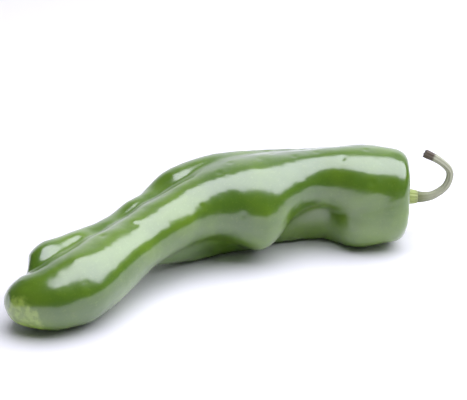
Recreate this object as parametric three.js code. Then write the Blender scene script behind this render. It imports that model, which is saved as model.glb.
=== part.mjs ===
// A long sweet frying pepper, lying on its side as picked: the pod, the calyx that caps its
// shoulder and the stem. Millimetres, +Z up, +X from the pod's tip to its stem, standing on Z = 0
// with the origin under the middle of its bounding box.
import * as THREE from "three";
import { LoftGeometry } from "three/addons/geometries/LoftGeometry.js";

const GAP = 0.3; // clearance between neighbouring pieces

// ---- Pod: driving dimensions ----

// The pod is three lobes that run its length side by side. Each station gives the pod's centre
// and, in the plane across the pod there, each lobe's circle as [towards the front, up, radius].
// The valleys between the lobes are the deeper the higher "crease" is.
const STATIONS = [
  // the blunt tip and the notch behind it
  { at: [-103, 3, 11], front: [0, -0.5, 10], low: [-1, -1, 8], back: [-2, 0, 6], crease: 8 },
  { at: [-95, -1, 12.5], front: [1, -1, 11.5], low: [-1, -3, 8], back: [-5, 0, 6], crease: 12 },
  // the bulb, with the back lobe's own end beside it
  { at: [-87, -3, 14.8], front: [3, -2, 13.5], low: [-2, -5, 9], back: [-13, 2, 8], crease: 16 },
  { at: [-74, -1, 17.2], front: [4, -2, 15.5], low: [-2, -6, 9], back: [-14, 2, 9], crease: 18 },
  // the waist
  { at: [-40, 13, 22], front: [3, 0, 12.5], low: [-2, -7, 9], back: [-11, -1, 8.5], crease: 20 },
  { at: [-25, 18, 23.5], front: [3, 1, 13], low: [-2, -10, 10.5], back: [-11.5, -0.5, 9], crease: 22 },
  // the belly
  { at: [-10, 22, 24], front: [3, 2, 15], low: [-2, -12, 12.5], back: [-13, 6, 10.5], crease: 22 },
  { at: [19, 23, 25], front: [4, -1.5, 22], low: [-4, -13, 13.5], back: [-12, 6, 11], crease: 18 },
  // the hollow under the front lobe
  { at: [50, 15, 24], front: [-1, 7, 14], low: [-5, -12, 12.5], back: [-11, 4, 13.5], crease: 22 },
  // the full end and its shoulder
  { at: [66, 8, 23.5], front: [0, 6, 17], low: [2, -9, 15.5], back: [-10, 4, 15.5], crease: 12 },
  { at: [79, 2, 23], front: [0, 5, 16], low: [2, -6, 15.5], back: [-6, 3, 15], crease: 7 },
];
const POINTS_PER_LOBE = 13;
const LEAST_LOBE_ANGLE = THREE.MathUtils.degToRad(24); // between a lobe's crest and its valley
const VALLEY_HALVINGS = 24; // steps in the search for a valley
const RING_STEP = 3.4; // along the pod
const TIP_DOME = 12; // length over which the tip rounds off
const TIP_RINGS = 7;

// The shoulder's profile, as [share of the section's size, way past the last station]: over the
// rim and down into the dish that the calyx sits in, which is round whatever the lobes do.
const SHOULDER = [
  [1, 0],
  [0.98, 3.5],
  [0.92, 6.6],
  [0.81, 8.5],
  [0.67, 8.9],
  [0.54, 7.8],
  [0.42, 6.2],
  [0.25, 5.2],
  [0.13, 5],
  [0.04, 5.1],
];
const SHOULDER_RINGS = 15;
const DISH_RADIUS = 20; // what the section's size fades to in the dish
const DISH_FADE = [0.8, 0.48]; // shares of size between which it fades

// ---- Calyx: driving dimensions ----

const CALYX_RADIUS = 8.6;
// The calyx's upper side as [radius, way past the last station], from its rim up its neck.
const CALYX_TOP = [
  [8.6, 7.5],
  [6.6, 7],
  [4.7, 7.6],
  [3.7, 9.4],
  [3.2, 12],
  [2.8, 14.4],
];
const CALYX_SIDES = 36;
const CALYX_STEPS = 12;

// ---- Stem: driving dimensions ----

// The stem's centre line as [out of the shoulder, away from the front, up], past the last station.
const STEM_ROUTE = [
  [14.8, 0, 0],
  [17.6, 0, 0.1],
  [22, 0, 1.6],
  [27, 0.6, 6],
  [28, 1.4, 12.4],
  [23, 2, 17.4],
  [15.8, 2.4, 20.8],
];
const STEM_RADII = [2.5, 2.2, 1.9, 1.75, 1.75, 1.75, 1.9]; // at each point of the route
const STEM_SIDES = 14;
const STEM_RINGS = 26;

// ---- Shared helpers ----

const lerp = THREE.MathUtils.lerp;
const UP = new THREE.Vector3(0, 0, 1);
const curveOf = (points) => new THREE.CatmullRomCurve3(points.map((p) => new THREE.Vector3(...p)));
const splineOf = (points) => new THREE.SplineCurve(points.map((p) => new THREE.Vector2(...p)));

// The value at t of a list of numbers spread evenly along a curve.
function valueAt(values, t) {
  return curveOf(values.map((value, i) => [i, value, 0])).getPoint(t).y;
}

// The plane across a curve at t, as { at, side, up, along }.
function frameAt(curve, t) {
  const along = curve.getTangent(t);
  const side = new THREE.Vector3().crossVectors(along, UP).normalize();
  return { at: curve.getPoint(t), side, up: new THREE.Vector3().crossVectors(side, along), along };
}

// ---- Pod ----

const spine = curveOf(STATIONS.map((station) => station.at));
const lobeCurves = ["front", "back", "low"].map((lobe) => curveOf(STATIONS.map((s) => s[lobe])));
const shoulderCurve = splineOf(SHOULDER);

// How far a ray from the section's centre at angle a runs inside a lobe's circle.
function reach(lobe, a) {
  const off = Math.hypot(lobe.x, lobe.y);
  const turn = a - Math.atan2(lobe.y, lobe.x);
  const across = off * Math.sin(turn);
  return Math.max(off * Math.cos(turn) + Math.sqrt(Math.max(lobe.z ** 2 - across ** 2, 0)), 0);
}

// The section's radius at angle a: the furthest lobe, blended over the valleys.
function sectionRadius(lobes, crease, a) {
  return lobes.reduce((sum, lobe) => sum + reach(lobe, a) ** crease, 0) ** (1 / crease);
}

// The angle of the valley between two neighbouring lobes, found by halving.
function valley(from, to, start, end) {
  let [low, high] = [start, end];
  for (let i = 0; i < VALLEY_HALVINGS; i++) {
    const middle = (low + high) / 2;
    if (reach(from, middle) > reach(to, middle)) {
      low = middle;
    } else {
      high = middle;
    }
  }
  return THREE.MathUtils.clamp(low, start + LEAST_LOBE_ANGLE, end - LEAST_LOBE_ANGLE);
}

// The angles at which a section is sampled: each lobe takes the same number of points, so that the
// valleys keep to the same points all along the pod.
function sectionAngles(lobes) {
  const crests = lobes.map((lobe) => Math.atan2(lobe.y, lobe.x));
  for (let i = 1; i < crests.length; i++) {
    while (crests[i] < crests[i - 1]) {
      crests[i] += 2 * Math.PI;
    }
  }
  crests.push(crests[0] + 2 * Math.PI);
  const valleys = lobes.map((lobe, i) => valley(lobe, lobes[(i + 1) % 3], crests[i], crests[i + 1]));
  const angles = [];
  valleys.forEach((end, i) => {
    const start = i === 0 ? valleys[2] - 2 * Math.PI : valleys[i - 1];
    for (let j = 0; j < POINTS_PER_LOBE; j++) {
      angles.push(lerp(start, end, j / POINTS_PER_LOBE));
    }
  });
  return angles;
}

// One ring of the pod at t along the spine, drawn in to a share of its size and moved along it.
// The pod rests on Z = 0, so what would reach lower is pressed flat.
function podRing(t, share = 1, push = 0) {
  const frame = frameAt(spine, t);
  const lobes = lobeCurves.map((curve) => curve.getPoint(t));
  const crease = valueAt(STATIONS.map((station) => station.crease), t);
  const dish = push ? 1 - THREE.MathUtils.smoothstep(share, DISH_FADE[1], DISH_FADE[0]) : 0;
  const ring = sectionAngles(lobes).map((a) => {
    const r = share * lerp(sectionRadius(lobes, crease, a), DISH_RADIUS, dish);
    const point = frame.at
      .clone()
      .addScaledVector(frame.side, r * Math.cos(a))
      .addScaledVector(frame.up, r * Math.sin(a))
      .addScaledVector(frame.along, push);
    return point.setZ(Math.max(point.z, 0));
  });
  return ring.reverse();
}

function podGeometry() {
  const rings = [];
  const length = spine.getLength();
  for (let i = 1; i <= TIP_RINGS; i++) {
    const turn = (i / (TIP_RINGS + 1)) * (Math.PI / 2);
    const t = spine.getUtoTmapping((TIP_DOME * (1 - Math.cos(turn))) / length);
    rings.push(podRing(t, Math.sin(turn)));
  }
  const body = Math.round((length - TIP_DOME) / RING_STEP);
  for (let i = 0; i < body; i++) {
    rings.push(podRing(spine.getUtoTmapping((TIP_DOME + (i / body) * (length - TIP_DOME)) / length)));
  }
  for (let i = 0; i <= SHOULDER_RINGS; i++) {
    const p = shoulderCurve.getPoint(i / SHOULDER_RINGS);
    rings.push(podRing(1, p.x, p.y));
  }
  return new LoftGeometry(rings, { capStart: true, capEnd: true });
}

// ---- Calyx ----

// A cap turned about the stem's line, with its underside a gap clear of the dish.
function calyxGeometry() {
  const underside = [];
  for (let i = SHOULDER_RINGS; i >= 0; i--) {
    const p = shoulderCurve.getPoint(i / SHOULDER_RINGS);
    if (DISH_RADIUS * p.x < CALYX_RADIUS) {
      underside.push(new THREE.Vector2(DISH_RADIUS * p.x, p.y + GAP));
    }
  }
  const bottom = new THREE.Vector2(0, underside[0].y);
  const top = splineOf(CALYX_TOP).getPoints(CALYX_STEPS);
  const crown = new THREE.Vector2(0, top.at(-1).y);
  return new THREE.LatheGeometry([bottom, ...underside, ...top, crown], CALYX_SIDES);
}

// ---- Stem ----

function stemGeometry() {
  const route = curveOf(STEM_ROUTE);
  const rings = [];
  for (let i = 0; i <= STEM_RINGS; i++) {
    const t = i / STEM_RINGS;
    const frame = frameAt(route, t);
    const r = valueAt(STEM_RADII, t);
    const ring = [];
    for (let j = 0; j < STEM_SIDES; j++) {
      const a = (-j / STEM_SIDES) * 2 * Math.PI;
      ring.push(
        frame.at
          .clone()
          .addScaledVector(frame.side, r * Math.cos(a))
          .addScaledVector(frame.up, r * Math.sin(a)),
      );
    }
    rings.push(ring);
  }
  return new LoftGeometry(rings, { capStart: true, capEnd: true });
}

// ---- The pepper ----

const material = (color, roughness) => new THREE.MeshStandardMaterial({ color, roughness, metalness: 0 });

const pepper = new THREE.Group();

const pod = new THREE.Mesh(podGeometry(), material(0x5b8a2c, 0.25));
pod.name = "pod";
pepper.add(pod);

// The crown stands on the shoulder: X out of the pod, Y away from the front, Z up.
const crown = new THREE.Group();
const shoulder = frameAt(spine, 1);
const crownBasis = new THREE.Matrix4().makeBasis(shoulder.along, shoulder.side.clone().negate(), shoulder.up);
crown.position.copy(shoulder.at);
crown.quaternion.setFromRotationMatrix(crownBasis);
pepper.add(crown);

const calyx = new THREE.Mesh(calyxGeometry(), material(0xb4c078, 0.5));
calyx.name = "calyx";
calyx.rotation.z = -Math.PI / 2;
crown.add(calyx);

const stem = new THREE.Mesh(stemGeometry(), material(0xa9ab84, 0.7));
stem.name = "stem";
crown.add(stem);

// The origin goes under the middle of the whole pepper.
const box = new THREE.Box3().setFromObject(pepper, true);
const middle = box.getCenter(new THREE.Vector3());
for (const piece of pepper.children) {
  piece.position.sub(new THREE.Vector3(middle.x, middle.y, 0));
}

export default pepper;
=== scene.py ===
"""A long sweet frying pepper, lying on its side: its glossy pod, its calyx and its curled stem.

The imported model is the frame. The pod is the frame's own pod, smoothed and given its dimples and
its blossom scar. The calyx is the frame's, with ribs and a scalloped rim. The stem is swept along
the stem's route by Geometry Nodes. All sizes are in metres.
"""

import logging
import math
from dataclasses import dataclass, field
from enum import Enum

import bmesh
import bpy
import numpy as np
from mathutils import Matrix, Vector
from mathutils.bvhtree import BVHTree


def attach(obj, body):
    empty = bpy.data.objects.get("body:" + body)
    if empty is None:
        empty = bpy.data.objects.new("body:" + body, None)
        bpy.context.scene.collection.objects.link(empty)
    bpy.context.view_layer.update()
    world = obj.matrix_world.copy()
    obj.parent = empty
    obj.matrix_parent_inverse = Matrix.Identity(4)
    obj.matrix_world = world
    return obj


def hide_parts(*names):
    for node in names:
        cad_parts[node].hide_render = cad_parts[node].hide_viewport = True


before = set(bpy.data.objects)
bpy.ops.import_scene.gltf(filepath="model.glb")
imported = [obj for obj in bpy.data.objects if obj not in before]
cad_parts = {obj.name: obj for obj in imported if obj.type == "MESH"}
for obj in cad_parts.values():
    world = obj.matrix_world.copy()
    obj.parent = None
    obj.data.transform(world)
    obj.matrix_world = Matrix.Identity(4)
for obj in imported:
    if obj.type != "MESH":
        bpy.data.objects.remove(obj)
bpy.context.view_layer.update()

MM = 0.001
BODY = "root"
MERGE_DISTANCE = 0.002 * MM
QUAD_FACE_ANGLE = math.radians(70)
QUAD_SHAPE_ANGLE = math.radians(80)

log = logging.getLogger("sweet_pepper")

Colour = tuple[float, float, float]


class Slot(Enum):
    """The record's material slots."""

    SKIN = "skin"
    CALYX = "calyx"
    STEM = "stem"


# ---- Node trees ----


class Bench:
    """A small helper that adds and joins the nodes of one tree."""

    def __init__(self, tree: bpy.types.NodeTree) -> None:
        """Holds the tree.

        Args:
            tree: the shader or geometry tree to work on.
        """
        self.tree = tree

    def add(self, kind: str, settings: dict | None = None, inputs: dict | None = None) -> bpy.types.Node:
        """Adds a node.

        Args:
            kind: the node's type name.
            settings: its properties by name.
            inputs: a value, or a socket to link from, for each input by name or number.

        Returns:
            The new node.
        """
        node = self.tree.nodes.new(kind)
        for name, value in (settings or {}).items():
            setattr(node, name, value)
        for key, value in (inputs or {}).items():
            if isinstance(value, bpy.types.NodeSocket):
                self.tree.links.new(value, node.inputs[key])
            else:
                node.inputs[key].default_value = value
        return node

    def math(self, operation: str, first: object, second: object = 0.0) -> bpy.types.NodeSocket:
        """Adds a math node.

        Args:
            operation: its operation.
            first: the first value or socket.
            second: the second value or socket.

        Returns:
            The result's socket.
        """
        node = self.add("ShaderNodeMath", {"operation": operation}, {0: first, 1: second})
        return node.outputs[0]

    def ramp(self, value: object, start: float, end: float) -> bpy.types.NodeSocket:
        """Adds a smooth step from 0 at start to 1 at end.

        Args:
            value: the value or socket that drives it.
            start: where it leaves 0.
            end: where it reaches 1.

        Returns:
            The result's socket.
        """
        step = self.add(
            "ShaderNodeMapRange",
            {"interpolation_type": "SMOOTHSTEP"},
            {"Value": value, "From Min": start, "From Max": end},
        )
        return step.outputs["Result"]

    def blend(self, factor: object, first: object, second: object) -> bpy.types.NodeSocket:
        """Adds a colour mix.

        Args:
            factor: the share of the second colour.
            first: the first colour or socket.
            second: the second colour or socket.

        Returns:
            The mixed colour's socket.
        """
        mix = self.add("ShaderNodeMix", {"data_type": "RGBA"}, {0: factor})
        for socket, value in ((mix.inputs[6], first), (mix.inputs[7], second)):
            if isinstance(value, bpy.types.NodeSocket):
                self.tree.links.new(value, socket)
            else:
                socket.default_value = (*value, 1.0)
        return mix.outputs[2]

    def noise(self, vector: bpy.types.NodeSocket, scale: float, detail: float = 2.0) -> bpy.types.NodeSocket:
        """Adds a noise texture.

        Args:
            vector: where it is read.
            scale: cells per metre.
            detail: octaves.

        Returns:
            Its value's socket, about 0.5 in the mean.
        """
        texture = self.add("ShaderNodeTexNoise", None, {"Vector": vector, "Scale": scale, "Detail": detail})
        return texture.outputs[0]


# ---- Finishes ----


@dataclass(frozen=True)
class SkinFinish:
    """The pod's waxy green skin, paler round the blossom scar."""

    deep: Colour = (0.072, 0.160, 0.005)
    fresh: Colour = (0.136, 0.252, 0.008)
    scar: Colour = (0.350, 0.500, 0.070)
    mottle_scale: float = 38.0
    mottle_from: float = 0.32
    mottle_to: float = 0.68
    fleck_scale: float = 900.0
    fleck_from: float = 0.56
    fleck_to: float = 0.72
    fleck_share: float = 0.08
    ragged_scale: float = 230.0
    ragged_width: float = 9 * MM
    scar_fade: float = 3 * MM
    patch_scale: float = 420.0
    patch_from: float = 0.38
    patch_to: float = 0.62
    patch_least: float = 0.45
    patch_range: float = 0.5
    roughness: float = 0.30
    scar_dullness: float = 0.16
    gloss_scale: float = 120.0
    gloss_range: float = 0.08
    ior: float = 1.45
    coat_ior: float = 1.8
    coat_roughness: float = 0.19
    grain_scale: float = 650.0
    grain_strength: float = 0.14
    grain_height: float = 0.2 * MM
    glow_weight: float = 0.12
    glow_reach: Colour = (1.0, 1.6, 0.4)
    glow_depth: float = 2.0 * MM

    def material(self, tip: Vector, scar_reach: float) -> bpy.types.Material:
        """Builds the skin's material.

        Args:
            tip: the middle of the blossom scar.
            scar_reach: the scar's radius.

        Returns:
            The material.
        """
        made, bench, shader = new_material("pepper_skin")
        place = bench.add("ShaderNodeTexCoord").outputs["Object"]
        mottle = bench.noise(place, self.mottle_scale, 4.0)
        flecks = bench.ramp(bench.noise(place, self.fleck_scale), self.fleck_from, self.fleck_to)
        green = bench.blend(bench.ramp(mottle, self.mottle_from, self.mottle_to), self.deep, self.fresh)
        green = bench.blend(bench.math("MULTIPLY", flecks, self.fleck_share), green, self.scar)
        away = bench.add("ShaderNodeVectorMath", {"operation": "DISTANCE"}, {0: place, 1: tip})
        ragged = bench.math("MULTIPLY", bench.noise(place, self.ragged_scale, 4.0), self.ragged_width)
        near = bench.math("ADD", away.outputs["Value"], ragged)
        scar = bench.ramp(near, scar_reach + self.scar_fade, scar_reach)
        patches = bench.ramp(bench.noise(place, self.patch_scale, 3.0), self.patch_from, self.patch_to)
        patches = bench.math("ADD", bench.math("MULTIPLY", patches, self.patch_range), self.patch_least)
        green = bench.blend(bench.math("MULTIPLY", scar, patches), green, self.scar)
        self.connect(bench, shader, green, scar, place)
        return made

    def connect(
        self,
        bench: Bench,
        shader: bpy.types.Node,
        green: bpy.types.NodeSocket,
        scar: bpy.types.NodeSocket,
        place: bpy.types.NodeSocket,
    ) -> None:
        """Sets the shader's gloss, its colour and the skin's finest grain.

        Args:
            bench: the material's bench.
            shader: its shader.
            green: the colour.
            scar: how much of the place is scar.
            place: object coordinates.
        """
        duller = bench.math("MULTIPLY", scar, self.scar_dullness)
        uneven = bench.math("MULTIPLY", bench.noise(place, self.gloss_scale), self.gloss_range)
        rough = bench.math("ADD", bench.math("ADD", duller, uneven), self.roughness - self.gloss_range / 2)
        grain = bench.add(
            "ShaderNodeBump",
            None,
            {
                "Strength": self.grain_strength,
                "Distance": self.grain_height,
                "Height": bench.noise(place, self.grain_scale, 4.0),
            },
        )
        bench.tree.links.new(green, shader.inputs["Base Color"])
        bench.tree.links.new(rough, shader.inputs["Roughness"])
        bench.tree.links.new(grain.outputs["Normal"], shader.inputs["Normal"])
        shader.inputs["IOR"].default_value = self.ior
        shader.inputs["Coat Weight"].default_value = 1.0
        shader.inputs["Coat IOR"].default_value = self.coat_ior
        shader.inputs["Coat Roughness"].default_value = self.coat_roughness
        shader.inputs["Subsurface Weight"].default_value = self.glow_weight
        shader.inputs["Subsurface Radius"].default_value = self.glow_reach
        shader.inputs["Subsurface Scale"].default_value = self.glow_depth


@dataclass(frozen=True)
class StalkFinish:
    """The calyx's and the stem's dull skin, whose colour runs along the stalk."""

    base: Colour
    middle: Colour
    end: Colour
    end_from: float
    fibres: float
    roughness: float
    fibre_scale: float = 3.0
    mottle_scale: float = 420.0
    mottle_range: float = 0.10
    base_from: float = 0.02
    base_to: float = 0.30
    end_fade: float = 0.05
    streak_from: float = 0.45
    streak_to: float = 0.75
    streak_share: float = 0.45
    streak_shade: float = 0.45
    bump_strength: float = 0.35
    bump_height: float = 0.12 * MM

    def material(self, name: str) -> bpy.types.Material:
        """Builds the material, which reads the attributes "along" and "around".

        Args:
            name: the material's name.

        Returns:
            The material.
        """
        made, bench, shader = new_material(name)
        place = bench.add("ShaderNodeTexCoord").outputs["Object"]
        along = bench.add("ShaderNodeAttribute", {"attribute_name": "along"}).outputs["Fac"]
        around = bench.add("ShaderNodeAttribute", {"attribute_name": "around"}).outputs["Fac"]
        streak_place = bench.add(
            "ShaderNodeCombineXYZ", None, {"X": bench.math("MULTIPLY", around, self.fibres), "Y": along}
        )
        streak = bench.noise(streak_place.outputs[0], self.fibre_scale, 3.0)
        mottle = bench.noise(place, self.mottle_scale, 4.0)
        uneven = bench.math("ADD", along, bench.math("MULTIPLY", mottle, self.mottle_range))
        colour = bench.blend(bench.ramp(uneven, self.base_from, self.base_to), self.base, self.middle)
        dry = bench.ramp(uneven, self.end_from, self.end_from + self.end_fade)
        colour = bench.blend(dry, colour, self.end)
        streaks = bench.ramp(streak, self.streak_from, self.streak_to)
        darker = bench.math("MULTIPLY", streaks, self.streak_share)
        colour = bench.blend(darker, colour, tuple(self.streak_shade * c for c in self.middle))
        bump = bench.add(
            "ShaderNodeBump",
            None,
            {"Strength": self.bump_strength, "Distance": self.bump_height, "Height": streak},
        )
        bench.tree.links.new(colour, shader.inputs["Base Color"])
        bench.tree.links.new(bump.outputs["Normal"], shader.inputs["Normal"])
        shader.inputs["Roughness"].default_value = self.roughness
        return made


def new_material(name: str) -> tuple[bpy.types.Material, Bench, bpy.types.Node]:
    """Starts a node material.

    Args:
        name: the material's name.

    Returns:
        The material, its bench and its shader.
    """
    made = bpy.data.materials.new(name)
    made.use_nodes = True
    return made, Bench(made.node_tree), made.node_tree.nodes["Principled BSDF"]


# ---- Shared mesh helpers ----


def quads_of(node: str) -> bpy.types.Mesh:
    """Copies a CAD node's mesh, merged and with its triangles joined into quads.

    Args:
        node: the CAD node.

    Returns:
        The new mesh.
    """
    bm = bmesh.new()
    bm.from_mesh(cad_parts[node].data)
    bmesh.ops.remove_doubles(bm, verts=bm.verts, dist=MERGE_DISTANCE)
    bmesh.ops.dissolve_degenerate(bm, edges=bm.edges, dist=MERGE_DISTANCE)
    bmesh.ops.join_triangles(
        bm,
        faces=bm.faces,
        angle_face_threshold=QUAD_FACE_ANGLE,
        angle_shape_threshold=QUAD_SHAPE_ANGLE,
    )
    mesh = bpy.data.meshes.new(node + "_quads")
    bm.to_mesh(mesh)
    bm.free()
    return mesh


def new_object(name: str, data: bpy.types.ID) -> bpy.types.Object:
    """Makes an object at the origin and links it to the scene.

    Args:
        name: the object's name.
        data: its mesh or curve.

    Returns:
        The object.
    """
    made = bpy.data.objects.new(name, data)
    bpy.context.scene.collection.objects.link(made)
    return made


def new_tree(name: str, sizes: dict[str, float]) -> tuple[bpy.types.NodeTree, Bench, dict]:
    """Starts a Geometry Nodes tree with a geometry input and output and named sizes.

    Args:
        name: the tree's name.
        sizes: each size's name and default.

    Returns:
        The tree, its bench and the group input's sockets by name.
    """
    tree = bpy.data.node_groups.new(name, "GeometryNodeTree")
    tree.interface.new_socket("Geometry", in_out="INPUT", socket_type="NodeSocketGeometry")
    tree.interface.new_socket("Geometry", in_out="OUTPUT", socket_type="NodeSocketGeometry")
    for size, default in sizes.items():
        tree.interface.new_socket(size, in_out="INPUT", socket_type="NodeSocketFloat").default_value = default
    bench = Bench(tree)
    group = bench.add("NodeGroupInput")
    return tree, bench, {socket.name: socket for socket in group.outputs if socket.name}


def close_tree(bench: Bench, geometry: bpy.types.NodeSocket, material: bpy.types.Material) -> None:
    """Ends a tree with Shade Smooth, Realize Instances and Set Material.

    Args:
        bench: the tree's bench.
        geometry: the finished geometry.
        material: the material to set.
    """
    smooth = bench.add("GeometryNodeSetShadeSmooth", None, {"Geometry": geometry})
    real = bench.add("GeometryNodeRealizeInstances", None, {"Geometry": smooth.outputs[0]})
    dressed = bench.add("GeometryNodeSetMaterial", None, {"Geometry": real.outputs[0], "Material": material})
    bench.add("NodeGroupOutput", None, {0: dressed.outputs[0]})


def push_out(
    bench: Bench, geometry: bpy.types.NodeSocket, height: bpy.types.NodeSocket
) -> bpy.types.NodeSocket:
    """Moves each place of a geometry along its normal.

    Args:
        bench: the tree's bench.
        geometry: the geometry.
        height: how far out.

    Returns:
        The moved geometry.
    """
    normal = bench.add("GeometryNodeInputNormal").outputs[0]
    offset = bench.add("ShaderNodeVectorMath", {"operation": "SCALE"}, {0: normal, "Scale": height})
    moved = bench.add(
        "GeometryNodeSetPosition", None, {"Geometry": geometry, "Offset": offset.outputs[0]}
    )
    return moved.outputs[0]


def settle(
    source: bpy.types.Object, tree: bpy.types.NodeTree, sizes: dict[str, float], name: str
) -> bpy.types.Object:
    """Runs a tree on an object and keeps the result as a plain mesh.

    Args:
        source: the object that the tree works on, which is removed afterwards.
        tree: the tree.
        sizes: the tree's named inputs.
        name: the finished piece's name.

    Returns:
        The finished piece.
    """
    modifier = source.modifiers.new("shape", "NODES")
    modifier.node_group = tree
    for item in tree.interface.items_tree:
        if item.in_out == "INPUT" and item.name in sizes:
            modifier[item.identifier] = sizes[item.name]
    depsgraph = bpy.context.evaluated_depsgraph_get()
    mesh = bpy.data.meshes.new_from_object(source.evaluated_get(depsgraph), depsgraph=depsgraph)
    source.modifiers.remove(modifier)
    bpy.data.objects.remove(source)
    mesh.name = name
    return new_object(name, mesh)


def hand_over(piece: bpy.types.Object, node: str) -> None:
    """Puts a finished piece on the frame in place of its CAD node, and logs it.

    Args:
        piece: the finished piece.
        node: the CAD node that it stands for.
    """
    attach(piece, BODY)
    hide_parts(node)
    triangles = sum(len(face.vertices) - 2 for face in piece.data.polygons)
    log.info("%s stands for %s: %d triangles", piece.name, node, triangles)


# ---- Camera, floor and light ----


@dataclass
class Studio:
    """The camera, the pale floor and the soft light."""

    azimuth: float = -25.0
    elevation: float = 26.0
    distance: float = 0.56
    lens: float = 100.0
    aim: Vector = field(default_factory=lambda: Vector((-0.0015, -0.013, 0.038)))
    clip_start: float = 0.01
    floor_size: float = 6.0
    floor_roughness: float = 0.75
    floor_colour: Colour = (0.88, 0.87, 0.87)
    light_colour: Colour = (0.87, 0.87, 1.0)
    light_azimuth: float = 68.0
    light_elevation: float = 69.0
    light_away: float = 1.0
    light_width: float = 1.1
    light_depth: float = 1.7
    light_watts: float = 26.0
    light_target: Vector = field(default_factory=lambda: Vector((0.0, 0.0, 0.02)))
    sky_colour: Colour = (0.90, 0.91, 1.0)
    rear_glow: float = 0.9
    rear_from: float = 0.5
    rear_to: float = 0.95
    room_glow: float = 0.075

    def direction(self, azimuth: float, elevation: float) -> Vector:
        """The way from the pepper towards a place round it.

        Args:
            azimuth: degrees round, with 0 in front.
            elevation: degrees up.

        Returns:
            A unit vector.
        """
        turn, rise = math.radians(azimuth), math.radians(elevation)
        return Vector((math.sin(turn) * math.cos(rise), -math.cos(turn) * math.cos(rise), math.sin(rise)))

    def add_camera(self) -> None:
        """Makes the scene's camera."""
        data = bpy.data.cameras.new("camera")
        data.lens = self.lens
        data.clip_start = self.clip_start
        camera = new_object("camera", data)
        back = self.direction(self.azimuth, self.elevation)
        camera.location = self.aim + back * self.distance
        camera.rotation_euler = back.to_track_quat("Z", "Y").to_euler()
        bpy.context.scene.camera = camera

    def add_floor(self) -> None:
        """Makes the floor."""
        bm = bmesh.new()
        bmesh.ops.create_grid(bm, x_segments=1, y_segments=1, size=self.floor_size / 2)
        mesh = bpy.data.meshes.new("floor")
        bm.to_mesh(mesh)
        bm.free()
        floor = new_object("floor", mesh)
        material, _, shader = new_material("floor_white")
        shader.inputs["Base Color"].default_value = (*self.floor_colour, 1.0)
        shader.inputs["Roughness"].default_value = self.floor_roughness
        mesh.materials.append(material)

    def add_overhead(self) -> None:
        """Makes the wide soft light above the pepper, which faces it."""
        data = bpy.data.lights.new("overhead", "AREA")
        data.shape = "RECTANGLE"
        data.size = self.light_width
        data.size_y = self.light_depth
        data.energy = self.light_watts
        data.color = self.light_colour
        light = new_object("overhead", data)
        back = self.direction(self.light_azimuth, self.light_elevation)
        light.location = self.light_target + back * self.light_away
        light.rotation_euler = back.to_track_quat("Z", "Y").to_euler()

    def add_world(self) -> None:
        """Makes the surroundings: bright behind the pepper and dim on the camera's side."""
        world = bpy.data.worlds.new("studio")
        world.use_nodes = True
        bench = Bench(world.node_tree)
        ray = bench.add("ShaderNodeTexCoord").outputs["Generated"]
        rear = -self.direction(self.azimuth, 0.0)
        towards = bench.add("ShaderNodeVectorMath", {"operation": "DOT_PRODUCT"}, {0: ray, 1: rear})
        share = bench.ramp(towards.outputs["Value"], self.rear_from, self.rear_to)
        strength = bench.math("ADD", bench.math("MULTIPLY", share, self.rear_glow), self.room_glow)
        background = world.node_tree.nodes["Background"]
        bench.tree.links.new(strength, background.inputs["Strength"])
        background.inputs["Color"].default_value = (*self.sky_colour, 1.0)
        bpy.context.scene.world = world

    def build(self) -> None:
        """Makes the whole studio."""
        self.add_camera()
        self.add_floor()
        self.add_world()
        self.add_overhead()
        bpy.context.scene.view_settings.view_transform = "Standard"
        log.info("studio: camera, floor, overhead light, surroundings")


# ---- Pod ----


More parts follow.
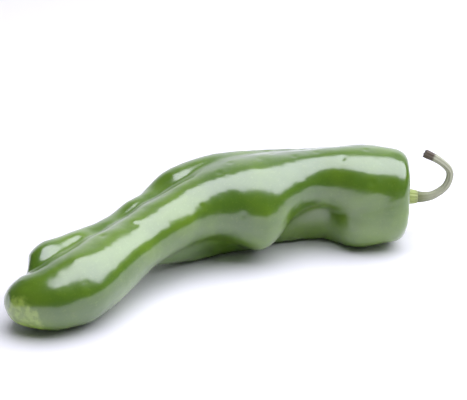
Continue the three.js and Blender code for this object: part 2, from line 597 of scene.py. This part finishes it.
@dataclass
class Pod:
    """The pod: three lobes, a dimpled skin and a blossom scar at the tip."""

    levels: int = 2
    swell: float = 0.55 * MM
    ripple: float = 0.16 * MM
    pit_depth: float = 0.42 * MM
    pit_width: float = 1.3 * MM
    pock_depth: float = 0.12 * MM
    pock_spacing: float = 9 * MM
    scar_depth: float = 0.7 * MM
    scar_reach: float = 11 * MM
    seed: int = 11
    swell_scale: float = 42.0
    ripple_scale: float = 150.0
    noise_gain: float = 3.2
    pock_density: float = 9000.0
    pucker_scale: float = 330.0
    pucker_gain: float = 1.1
    relief_from: float = 0.2 * MM
    relief_full: float = 3 * MM
    valley_from: float = math.radians(6)
    valley_sharp: float = math.radians(28)
    valley_most: float = 0.8
    tip_window: float = 2.5 * MM
    section_step: float = 6 * MM
    section_half: float = 4 * MM
    swelling_cutoff: float = 3.0
    resting_height: float = 2 * MM
    scar_place: Vector = field(default_factory=lambda: Vector((5 * MM, -11 * MM, -1 * MM)))
    # Each swelling or hollow as [along X in millimetres, degrees up from the front, radius, height].
    swellings: tuple = (
        (-33, 125, 9, 1.8), (-22, 120, 5, -1.6), (2, 118, 12, 1.6), (52, 100, 7, 0.7),
        (-84, 105, 8, 1.0), (30, 20, 9, 0.6), (-58, 20, 10, 0.5),
        (-74, 10, 12, 1.6), (-88, 10, 10, 1.2), (18, -5, 10, 0.8),
        (46, -52, 14, -4.2), (-2, -48, 14, -3.2),
        (-80, 118, 5, 0.5), (-74, 104, 4, -0.9), (-66, 112, 5, 0.8), (-58, 116, 4, -0.9),
        (-50, 110, 5, 0.6), (-42, 118, 4, -0.6), (-12, 112, 6, -0.7),
    )
    # Each dimple as [along X in millimetres, degrees up from the front].
    dimples: tuple = (
        (8, 85), (20, 76), (-1, 66), (30, 88), (38, 70), (49, 83), (58, 72), (69, 84),
        (80, 66), (8, 15), (73, 36),
        (-62, 70), (-30, 95), (-48, 60), (30, 110), (10, 170), (45, 200), (-55, 190), (-20, 150),
    )
    finish: SkinFinish = field(default_factory=SkinFinish)

    def build(self) -> bpy.types.Object:
        """Makes the pod and puts it on the frame.

        Returns:
            The finished pod.
        """
        mesh = quads_of("pod")
        self.sharpen_valleys(mesh)
        self.raise_swellings(mesh)
        tip = self.tip_of(mesh)
        marks = self.dimple_marks(mesh)
        tree, sizes = self.skin_tree(self.finish.material(tip, self.scar_reach), marks, tip)
        pod = settle(new_object("pod_start", mesh), tree, sizes, "pod_skin")
        bpy.data.objects.remove(marks)
        hand_over(pod, "pod")
        return pod

    def tip_of(self, mesh: bpy.types.Mesh) -> Vector:
        """Finds the middle of the blossom scar, on the pod's blunt tip.

        Args:
            mesh: the pod's mesh.

        Returns:
            The place.
        """
        lowest_x = min(vertex.co.x for vertex in mesh.vertices)
        near = [vertex.co for vertex in mesh.vertices if vertex.co.x < lowest_x + self.tip_window]
        return sum(near, Vector()) / len(near) + self.scar_place

    def sharpen_valleys(self, mesh: bpy.types.Mesh) -> None:
        """Creases the edges that run along the valleys between the lobes.

        Args:
            mesh: the pod's mesh.
        """
        bm = bmesh.new()
        bm.from_mesh(mesh)
        crease = bm.edges.layers.float.new("crease_edge")
        for edge in bm.edges:
            if edge.is_manifold and not edge.is_convex:
                sharp = (edge.calc_face_angle() - self.valley_from) / self.valley_sharp
                edge[crease] = min(max(sharp, 0.0), self.valley_most)
        bm.to_mesh(mesh)
        bm.free()

    def raise_swellings(self, mesh: bpy.types.Mesh) -> None:
        """Moves the skin out or in round each stated swelling.

        Args:
            mesh: the pod's mesh.
        """
        skin = self.skin_of(mesh)
        normals = [vertex.normal.copy() for vertex in mesh.vertices]
        for along, degrees, radius, height in self.swellings:
            place = self.on_skin(mesh, skin, along, degrees)
            for vertex, normal in zip(mesh.vertices, normals):
                share = (vertex.co - place).length / (radius * MM)
                if share < self.swelling_cutoff and vertex.co.z > self.resting_height:
                    vertex.co += normal * (height * MM * math.exp(-share * share))

    def skin_of(self, mesh: bpy.types.Mesh) -> BVHTree:
        """Makes a tree for casting rays at the skin.

        Args:
            mesh: the pod's mesh.

        Returns:
            The tree.
        """
        bm = bmesh.new()
        bm.from_mesh(mesh)
        skin = BVHTree.FromBMesh(bm)
        bm.free()
        return skin

    def on_skin(self, mesh: bpy.types.Mesh, skin: BVHTree, along: float, degrees: float) -> Vector:
        """Finds a stated place on the skin.

        Args:
            mesh: the pod's mesh.
            skin: its tree.
            along: how far along X, in millimetres.
            degrees: how far up from the front.

        Returns:
            The place.
        """
        centre, heading = self.section(mesh, along * MM)
        front = heading.cross(Vector((0.0, 0.0, 1.0))).normalized()
        turn = math.radians(degrees)
        ray = front * math.cos(turn) + Vector((0.0, 0.0, math.sin(turn)))
        return skin.ray_cast(centre, ray)[0] or centre

    def dimple_marks(self, mesh: bpy.types.Mesh) -> bpy.types.Object:
        """Puts a point on the skin for each stated dimple.

        Args:
            mesh: the pod's mesh.

        Returns:
            An object that holds only the points.
        """
        skin = self.skin_of(mesh)
        points = [self.on_skin(mesh, skin, along, degrees) for along, degrees in self.dimples]
        marks = bpy.data.meshes.new("dimple_marks")
        marks.from_pydata(points, [], [])
        return new_object("dimple_marks", marks)

    def section(self, mesh: bpy.types.Mesh, x: float) -> tuple[Vector, Vector]:
        """Finds the pod's centre and heading at a place along it.

        Args:
            mesh: the pod's mesh.
            x: how far along.

        Returns:
            The centre and the heading there.
        """
        centres = []
        for place in (x - self.section_step, x, x + self.section_step):
            near = [vertex.co for vertex in mesh.vertices if abs(vertex.co.x - place) < self.section_half]
            centres.append(sum(near, Vector()) / max(len(near), 1))
        return centres[1], (centres[2] - centres[0]).normalized()

    def skin_tree(
        self, material: bpy.types.Material, marks: bpy.types.Object, tip: Vector
    ) -> tuple[bpy.types.NodeTree, dict[str, float]]:
        """Builds the tree that smooths the pod and gives it its relief.

        Args:
            material: the skin's material.
            marks: the stated dimples.
            tip: the blossom scar's middle.

        Returns:
            The tree and the sizes to run it with.
        """
        sizes = {
            "Swell": self.swell,
            "Ripple": self.ripple,
            "Pit Depth": self.pit_depth,
            "Pit Width": self.pit_width,
            "Pock Depth": self.pock_depth,
            "Pock Spacing": self.pock_spacing,
            "Scar Depth": self.scar_depth,
            "Scar Reach": self.scar_reach,
        }
        tree, bench, given = new_tree("pod_skin", sizes)
        smooth = bench.add(
            "GeometryNodeSubdivisionSurface", None, {"Mesh": given["Geometry"], "Level": self.levels}
        ).outputs[0]
        place = bench.add("GeometryNodeInputPosition").outputs[0]
        swell = self.centred(bench, place, self.swell_scale, 1.0)
        swell = bench.math("MULTIPLY", swell, given["Swell"])
        ripple = self.centred(bench, place, self.ripple_scale, 2.0)
        ripple = bench.math("MULTIPLY", ripple, given["Ripple"])
        points = bench.add("GeometryNodeObjectInfo", None, {"Object": marks}).outputs["Geometry"]
        pits = self.hollow(bench, points, given["Pit Depth"], given["Pit Width"])
        scattered = bench.add(
            "GeometryNodeDistributePointsOnFaces",
            {"distribute_method": "POISSON"},
            {
                "Mesh": smooth,
                "Distance Min": given["Pock Spacing"],
                "Density Max": self.pock_density,
                "Seed": self.seed,
            },
        ).outputs["Points"]
        pocks = self.hollow(bench, scattered, given["Pock Depth"], given["Pit Width"])
        scar = self.scar(bench, place, tip, given["Scar Depth"], given["Scar Reach"])
        depth = bench.math("ADD", bench.math("ADD", pits, pocks), scar)
        height = bench.math("SUBTRACT", bench.math("ADD", swell, ripple), depth)
        raised = bench.add("ShaderNodeSeparateXYZ", None, {0: place}).outputs["Z"]
        lifted = bench.ramp(raised, self.relief_from, self.relief_full)
        height = bench.math("MULTIPLY", height, lifted)
        close_tree(bench, push_out(bench, smooth, height), material)
        return tree, sizes

    def centred(
        self, bench: Bench, place: bpy.types.NodeSocket, scale: float, detail: float
    ) -> bpy.types.NodeSocket:
        """Adds noise between about -1 and 1.

        Args:
            bench: the tree's bench.
            place: where it is read.
            scale: cells per metre.
            detail: octaves.

        Returns:
            The value's socket.
        """
        centred = bench.math("SUBTRACT", bench.noise(place, scale, detail), 0.5)
        return bench.math("MULTIPLY", centred, self.noise_gain)

    def bell(
        self, bench: Bench, distance: bpy.types.NodeSocket, width: bpy.types.NodeSocket
    ) -> bpy.types.NodeSocket:
        """Adds a bell curve, which is 1 in the middle and falls off over its half width.

        Args:
            bench: the tree's bench.
            distance: how far away the middle is.
            width: its half width.

        Returns:
            The value at each place.
        """
        share = bench.math("DIVIDE", distance, width)
        return bench.math("EXPONENT", bench.math("MULTIPLY", bench.math("MULTIPLY", share, share), -1.0))

    def hollow(
        self,
        bench: Bench,
        points: bpy.types.NodeSocket,
        depth: bpy.types.NodeSocket,
        width: bpy.types.NodeSocket,
    ) -> bpy.types.NodeSocket:
        """Adds a rounded hollow at each point.

        Args:
            bench: the tree's bench.
            points: the points.
            depth: each hollow's depth.
            width: its half width.

        Returns:
            The depth at each place.
        """
        near = bench.add("GeometryNodeProximity", {"target_element": "POINTS"}, {0: points})
        return bench.math("MULTIPLY", self.bell(bench, near.outputs["Distance"], width), depth)

    def scar(
        self,
        bench: Bench,
        place: bpy.types.NodeSocket,
        tip: Vector,
        depth: bpy.types.NodeSocket,
        reach: bpy.types.NodeSocket,
    ) -> bpy.types.NodeSocket:
        """Adds the puckered hollow where the flower grew.

        Args:
            bench: the tree's bench.
            place: the position.
            tip: its middle.
            depth: its depth.
            reach: its radius.

        Returns:
            The depth at each place.
        """
        away = bench.add("ShaderNodeVectorMath", {"operation": "DISTANCE"}, {0: place, 1: tip})
        bell = self.bell(bench, away.outputs["Value"], reach)
        pucker = bench.math("MULTIPLY", bench.noise(place, self.pucker_scale, 3.0), self.pucker_gain)
        return bench.math("MULTIPLY", bench.math("MULTIPLY", bell, pucker), depth)


# ---- Crown: calyx and stem ----


@dataclass
class Crown:
    """The line that the calyx and the stem share, found from the turned calyx."""

    foot: Vector = field(default_factory=Vector)
    out: Vector = field(default_factory=Vector)
    back: Vector = field(default_factory=Vector)
    up: Vector = field(default_factory=Vector)
    merge_digits: int = 7

    def find(self) -> None:
        """Works out the axis: a turned cap's vertices spread least evenly along it."""
        places = np.array([vertex.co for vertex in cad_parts["calyx"].data.vertices])
        places = np.unique(places.round(self.merge_digits), axis=0)
        middle = places.mean(axis=0)
        spread, lines = np.linalg.eigh(np.cov((places - middle).T))
        lone = int(np.argmax([abs(value - np.median(spread)) for value in spread]))
        axis = lines[:, lone] * np.sign(lines[0, lone])
        self.out = Vector(axis)
        self.foot = Vector(middle + axis * ((places - middle) @ axis).min())
        self.back = Vector((0.0, 0.0, 1.0)).cross(self.out).normalized()
        self.up = self.out.cross(self.back)

    def place(self, out: float, back: float, up: float) -> Vector:
        """Turns a place on the crown into one in the frame.

        Args:
            out: how far out of the shoulder from the calyx's foot.
            back: how far away from the front.
            up: how far up.

        Returns:
            The place.
        """
        return self.foot + self.out * out + self.back * back + self.up * up


@dataclass
class Calyx:
    """The calyx: a small ribbed cap with a scalloped rim and a neck."""

    crown: Crown
    levels: int = 2
    teeth: int = 6
    tooth_depth: float = 0.16
    ribs: int = 12
    rib_height: float = 0.16 * MM
    rib_fade: float = 2 * MM
    rim_from: float = 0.4
    tooth_wander: float = 0.4
    rim_curl: float = 0.9 * MM
    curl_share: float = 0.35
    curl_waves: int = 3
    curl_phase: float = 1.0
    curl_above: float = 1 * MM
    drop: float = 0.25 * MM
    finish: StalkFinish = StalkFinish(
        base=(0.300, 0.370, 0.085),
        middle=(0.430, 0.510, 0.155),
        end=(0.400, 0.460, 0.170),
        end_from=0.85,
        fibres=8.0,
        roughness=0.48,
    )

    def build(self) -> bpy.types.Object:
        """Makes the calyx and puts it on the frame.

        Returns:
            The finished calyx.
        """
        mesh = quads_of("calyx")
        source = new_object("calyx_start", mesh)
        tree, bench, given = new_tree("calyx_smooth", {})
        smooth = bench.add(
            "GeometryNodeSubdivisionSurface", None, {"Mesh": given["Geometry"], "Level": self.levels}
        )
        close_tree(bench, smooth.outputs[0], self.finish.material("calyx_green"))
        calyx = settle(source, tree, {}, "calyx_cap")
        self.shape(calyx.data)
        hand_over(calyx, "calyx")
        return calyx

    def shape(self, mesh: bpy.types.Mesh) -> None:
        """Scallops the rim, ribs the neck and stores how far along and around each place is.

        Args:
            mesh: the smoothed calyx.
        """
        along = mesh.attributes.new("along", "FLOAT", "POINT")
        around = mesh.attributes.new("around", "FLOAT", "POINT")
        rests = [(vertex.co - self.crown.foot) for vertex in mesh.vertices]
        height = max(rest.dot(self.crown.out) for rest in rests)
        widest = max((rest - self.crown.out * rest.dot(self.crown.out)).length for rest in rests)
        for vertex, rest in zip(mesh.vertices, rests):
            out = rest.dot(self.crown.out)
            spoke = rest - self.crown.out * out
            turn = math.atan2(spoke.dot(self.crown.up), spoke.dot(self.crown.back))
            edge = max(spoke.length / widest - self.rim_from, 0.0) / (1.0 - self.rim_from)
            tooth = 0.5 - 0.5 * math.cos(self.teeth * turn + self.tooth_wander * math.sin(2 * turn))
            rib = self.rib_height * math.cos(self.ribs * turn) * min(spoke.length / self.rib_fade, 1.0)
            spoke *= 1.0 - self.tooth_depth * edge * tooth
            if spoke.length > 0:
                spoke += spoke.normalized() * rib
            wave = math.sin(self.curl_waves * turn + self.curl_phase) * (out > self.curl_above)
            out += self.rim_curl * self.curl_share * edge * edge * wave - self.drop
            vertex.co = self.crown.foot + self.crown.out * out + spoke
            along.data[vertex.index].value = max(out / height, 0.0)
            around.data[vertex.index].value = abs(turn / math.pi)


@dataclass
class Stem:
    """The stem: a ribbed stalk that curls up and back over, dry and brown at its cut end."""

    crown: Crown
    # The centre line as [out of the shoulder, away from the front, up] in millimetres, from the
    # last station of the pod, and the radius at each point.
    route: tuple = (
        (14.0, 0.0, 0.0), (17.6, 0.0, 0.1), (22.0, 0.0, 1.6), (27.0, 0.6, 6.0),
        (28.0, 1.4, 12.4), (23.0, 2.0, 17.4), (15.9, 2.4, 20.8),
    )
    radii: tuple = (2.55, 2.15, 1.8, 1.6, 1.55, 1.6, 1.85)
    station_to_foot: float = 5.3
    steps_between: int = 14
    sides: int = 40
    ribs: float = 7.0
    rib_height: float = 0.16 * MM
    lump: float = 0.16 * MM
    lump_scale: float = 260.0
    twist: float = 1.6
    finish: StalkFinish = StalkFinish(
        base=(0.180, 0.205, 0.075),
        middle=(0.450, 0.465, 0.320),
        end=(0.095, 0.070, 0.045),
        end_from=0.905,
        fibres=16.0,
        roughness=0.60,
    )

    def build(self) -> bpy.types.Object:
        """Makes the stem and puts it on the frame.

        Returns:
            The finished stem.
        """
        tree = self.sweep_tree(self.finish.material("stem_grey_green"))
        sizes = {
            "Sides": float(self.sides),
            "Ribs": self.ribs,
            "Rib Height": self.rib_height,
            "Lump": self.lump,
            "Twist": self.twist,
        }
        stem = settle(self.centre_line(), tree, sizes, "stem_stalk")
        hand_over(stem, "stem")
        return stem

    def centre_line(self) -> bpy.types.Object:
        """Makes the smooth centre line, with the stem's radius at each point.

        Returns:
            A curve object.
        """
        data = bpy.data.curves.new("stem_line", "CURVE")
        data.dimensions = "3D"
        spline = data.splines.new("POLY")
        points = self.smooth([(*place, radius) for place, radius in zip(self.route, self.radii)])
        spline.points.add(len(points) - 1)
        for point, (out, back, up, radius) in zip(spline.points, points):
            place = self.crown.place((out - self.station_to_foot) * MM, back * MM, up * MM)
            point.co = (*place, 1.0)
            point.radius = radius * MM
        return new_object("stem_line", data)

    def smooth(self, knots: list[tuple]) -> list[tuple]:
        """Rounds a list of points by an even Catmull-Rom curve.

        Args:
            knots: the points.

        Returns:
            The finer points.
        """
        rows = [knots[0], *knots, knots[-1]]
        fine = []
        for four in zip(rows, rows[1:], rows[2:], rows[3:]):
            for step in range(self.steps_between):
                t = step / self.steps_between
                fine.append(tuple(self.between(*numbers, t) for numbers in zip(*four)))
        return [*fine, knots[-1]]

    def between(self, p: float, q: float, r: float, s: float, t: float) -> float:
        """Gives the Catmull-Rom value between the middle two of four numbers.

        Args:
            p: the first number.
            q: the second, where the stretch starts.
            r: the third, where it ends.
            s: the fourth.
            t: how far along the stretch, from 0 to 1.

        Returns:
            The value.
        """
        square = (2 * p - 5 * q + 4 * r - s) * t**2
        cube = (3 * q - p - 3 * r + s) * t**3
        return 0.5 * (2 * q + (r - p) * t + square + cube)

    def sweep_tree(self, material: bpy.types.Material) -> bpy.types.NodeTree:
        """Builds the tree that sweeps the ribbed section along the centre line.

        Args:
            material: the stem's material.

        Returns:
            The tree.
        """
        names = ("Sides", "Ribs", "Rib Height", "Lump", "Twist")
        tree, bench, given = new_tree("stem_sweep", dict.fromkeys(names, 1.0))
        along = bench.add("GeometryNodeSplineParameter").outputs["Factor"]
        kept = bench.add(
            "GeometryNodeStoreNamedAttribute",
            {"data_type": "FLOAT", "domain": "POINT"},
            {"Geometry": given["Geometry"], "Name": "along", "Value": along},
        )
        ring = bench.add(
            "GeometryNodeCurvePrimitiveCircle", None, {"Resolution": given["Sides"], "Radius": 1.0}
        )
        turned = bench.add(
            "GeometryNodeStoreNamedAttribute",
            {"data_type": "FLOAT", "domain": "POINT"},
            {"Geometry": ring.outputs[0], "Name": "around", "Value": along},
        )
        thick = bench.add("GeometryNodeInputRadius").outputs[0]
        tube = bench.add(
            "GeometryNodeCurveToMesh",
            None,
            {"Curve": kept.outputs[0], "Profile Curve": turned.outputs[0], "Fill Caps": True, "Scale": thick},
        )
        far, turn = (
            bench.add("GeometryNodeInputNamedAttribute", {"data_type": "FLOAT"}, {"Name": name}).outputs[0]
            for name in ("along", "around")
        )
        phase = bench.math("MULTIPLY", bench.math("MULTIPLY", turn, given["Ribs"]), 2 * math.pi)
        phase = bench.math("ADD", phase, bench.math("MULTIPLY", far, given["Twist"]))
        rib = bench.math("MULTIPLY", bench.math("COSINE", phase), given["Rib Height"])
        place = bench.add("GeometryNodeInputPosition").outputs[0]
        lump = bench.math("SUBTRACT", bench.noise(place, self.lump_scale, 3.0), 0.5)
        lump = bench.math("MULTIPLY", lump, bench.math("MULTIPLY", given["Lump"], 2.0))
        height = bench.math("ADD", rib, lump)
        close_tree(bench, push_out(bench, tube.outputs[0], height), material)
        return tree


def main() -> None:
    """Builds the studio and the pepper's pieces in order."""
    Studio().build()
    Pod().build()
    crown = Crown()
    crown.find()
    Calyx(crown).build()
    Stem(crown).build()


if __name__ == "__main__":
    logging.basicConfig(level=logging.INFO, format="%(name)s: %(message)s")
    main()
